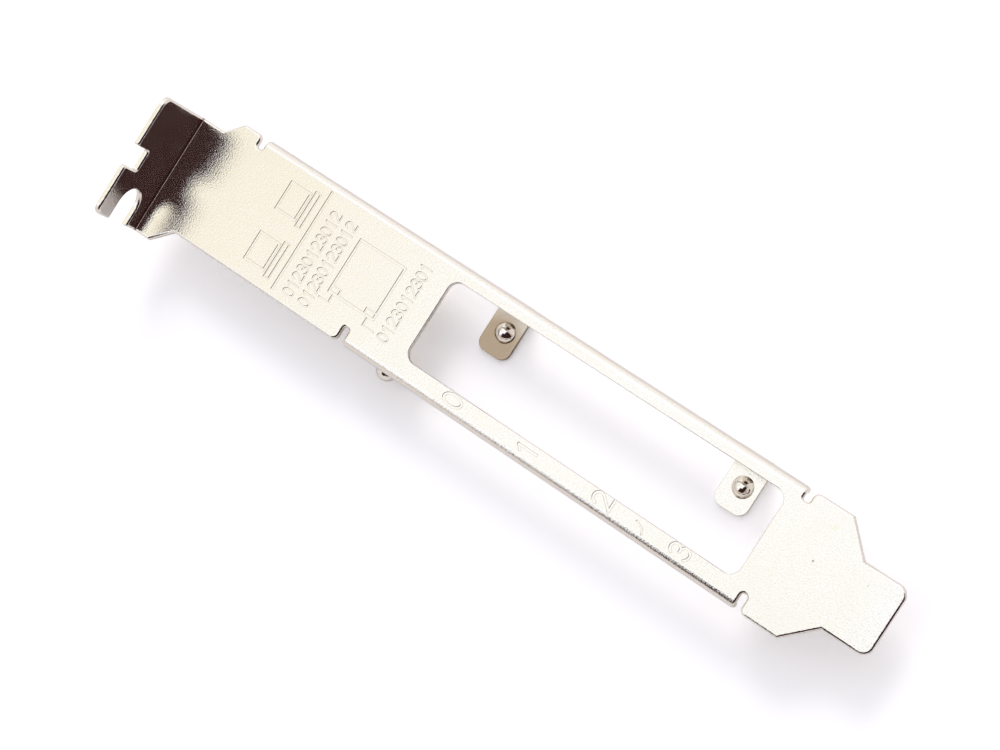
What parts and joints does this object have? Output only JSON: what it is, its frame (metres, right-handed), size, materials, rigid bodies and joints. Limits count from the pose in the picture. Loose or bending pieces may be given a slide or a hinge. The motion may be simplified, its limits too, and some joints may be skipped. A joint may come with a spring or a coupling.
{
  "type": "full height expansion card bracket",
  "caption": "Folded sheet metal rear bracket for an expansion card, with a fixing flange, rolled side lips, a long port window, dimpled feet and a narrow tongue.",
  "frame": {"origin": "under the middle of the part's box, on the plane that the feet and the straight leg stand on", "axes": "+Y along the plate towards the fixing flange, +Z out of the plate's outer face, +X to the right seen from outside with the flange at the top"},
  "size_m": [0.0214, 0.12, 0.0196],
  "materials": {
    "plated_steel": "satin nickel plate"
  },
  "bodies": {
    "root": {"bracket": "plated_steel"}
  },
  "joints": []
}
